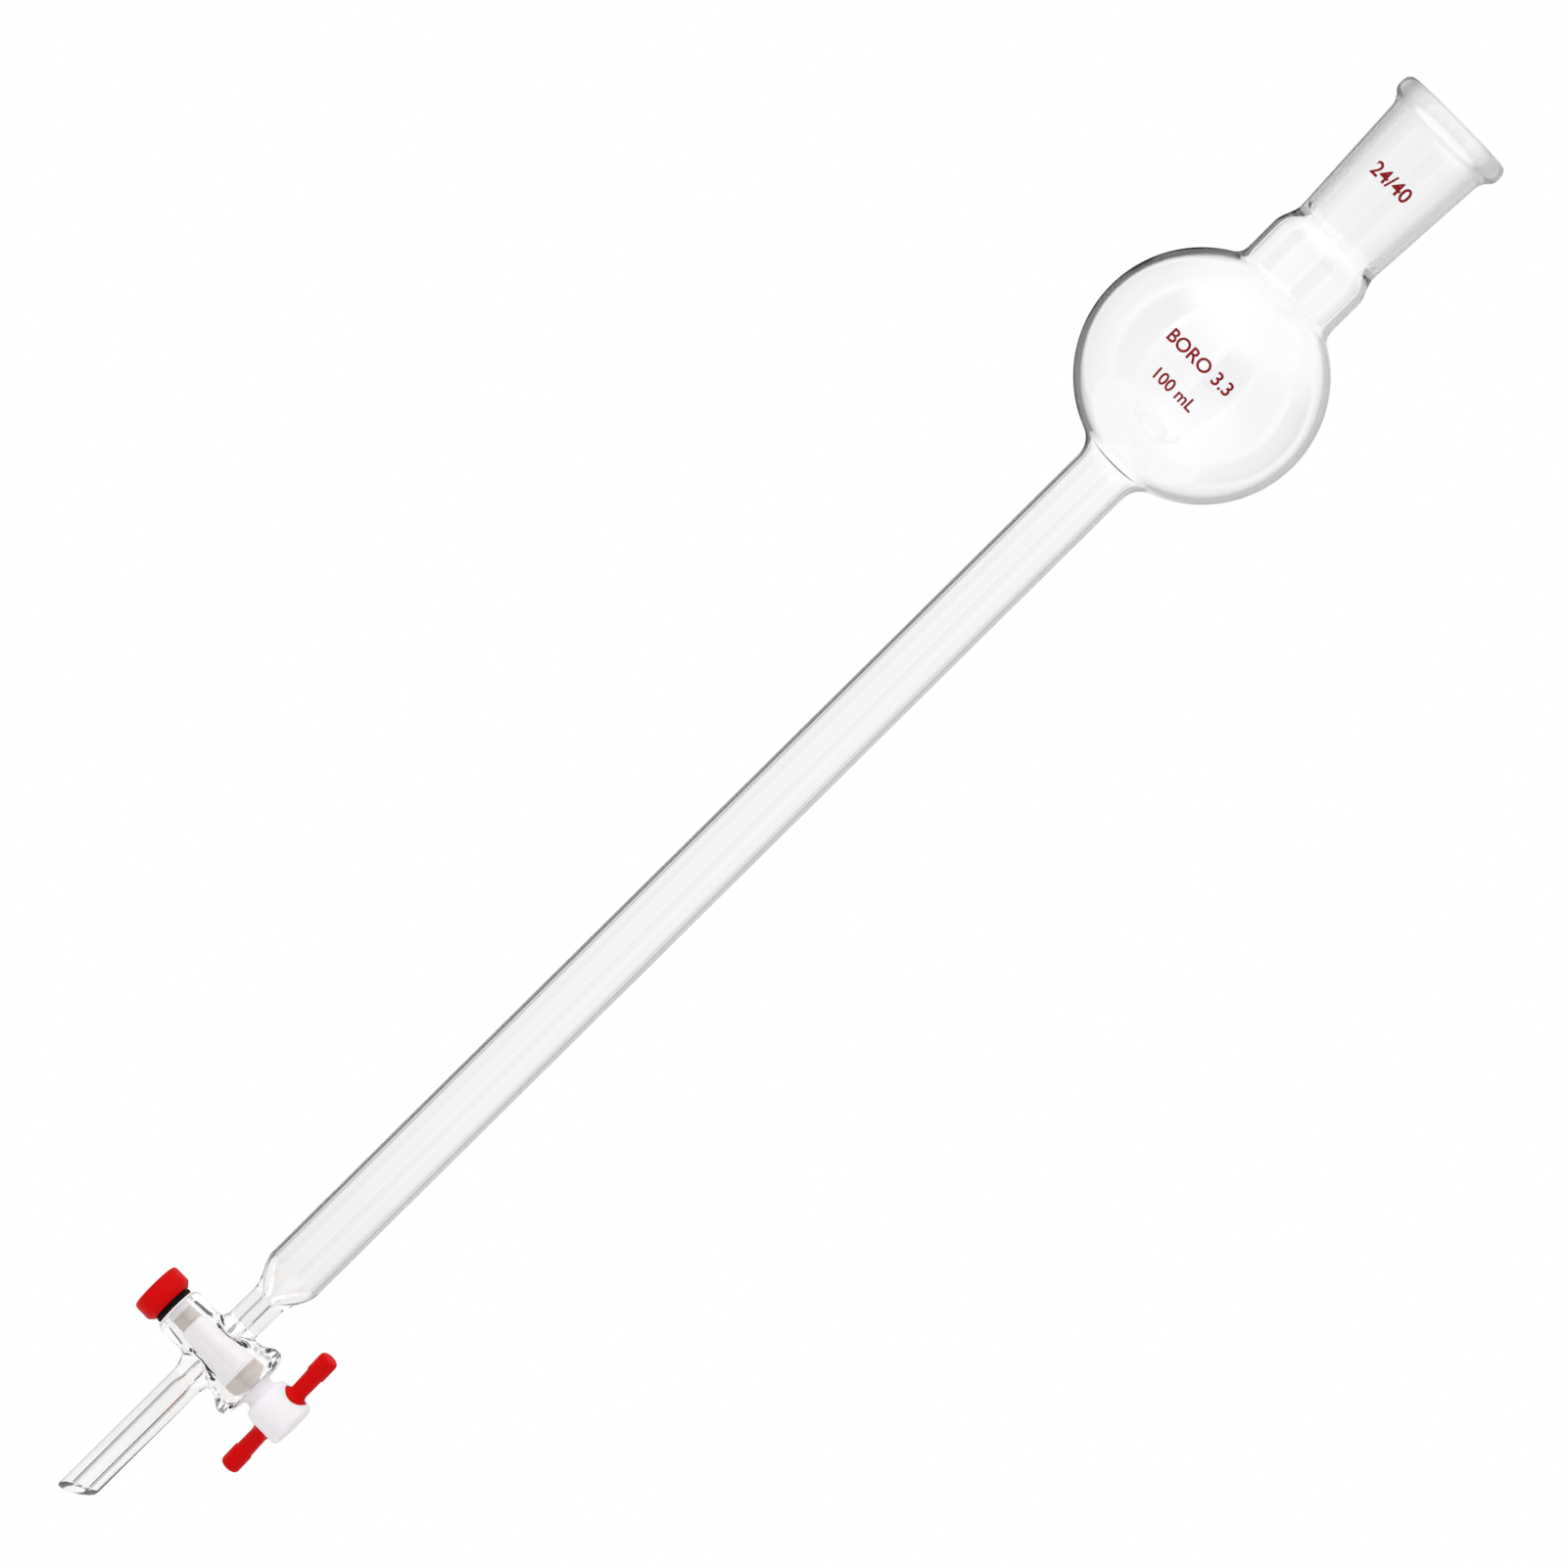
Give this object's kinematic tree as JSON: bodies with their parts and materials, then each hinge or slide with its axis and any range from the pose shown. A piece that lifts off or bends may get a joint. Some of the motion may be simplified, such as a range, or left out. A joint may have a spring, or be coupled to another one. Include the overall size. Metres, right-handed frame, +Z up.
{
  "type": "chromatography column",
  "caption": "Slim glass column with a round reservoir and ground socket above, and a taper-plug stopcock with T handle and slanted drip tip below.",
  "frame": {"origin": "on the column's axis, where a stand's clamp grips the tube, 260 mm above the stopcock's axis", "axes": "+Z up along the column to the socket, +X along the stopcock to the handle side, marks face -Y"},
  "size_m": [0.064, 0.064, 0.485],
  "materials": {
    "borosilicate_glass": "clear, fire polished, ground inside the socket",
    "white_ptfe": "satin, slightly translucent",
    "red_plastic": "moulded, satin gloss",
    "black_rubber": "matt",
    "fired_enamel": "marking enamel fired onto the glass"
  },
  "bodies": {
    "glass_body": {"socket_joint": "borosilicate_glass", "reservoir_bulb": "borosilicate_glass", "column_tube": "borosilicate_glass", "stopcock_barrel": "borosilicate_glass", "drip_tip": "borosilicate_glass"},
    "plug": {"stopcock_plug": "white_ptfe", "handle_bar": "red_plastic", "plug_washer": "white_ptfe"},
    "seal_ring": {"o_ring": "black_rubber"},
    "nut": {"retaining_nut": "red_plastic"}
  },
  "joints": [
    {"name": "plug_turn", "type": "hinge", "parent": "glass_body", "child": "plug", "pos_m": [0, 0, -0.26], "axis": [1, 0, 0], "continuous": true},
    {"name": "nut_travel", "type": "slide", "parent": "plug", "child": "seal_ring", "axis": [-1, 0, 0], "range_m": [0, 0.0045]},
    {"name": "nut_turn", "type": "hinge", "parent": "seal_ring", "child": "nut", "pos_m": [-0.0194, 0, -0.26], "axis": [-1, 0, 0], "range_deg": [0, 1080]}
  ],
  "couplings": [
    {"joint": "nut_turn", "follows": "nut_travel", "rad_per_m": 4188.8}
  ]
}
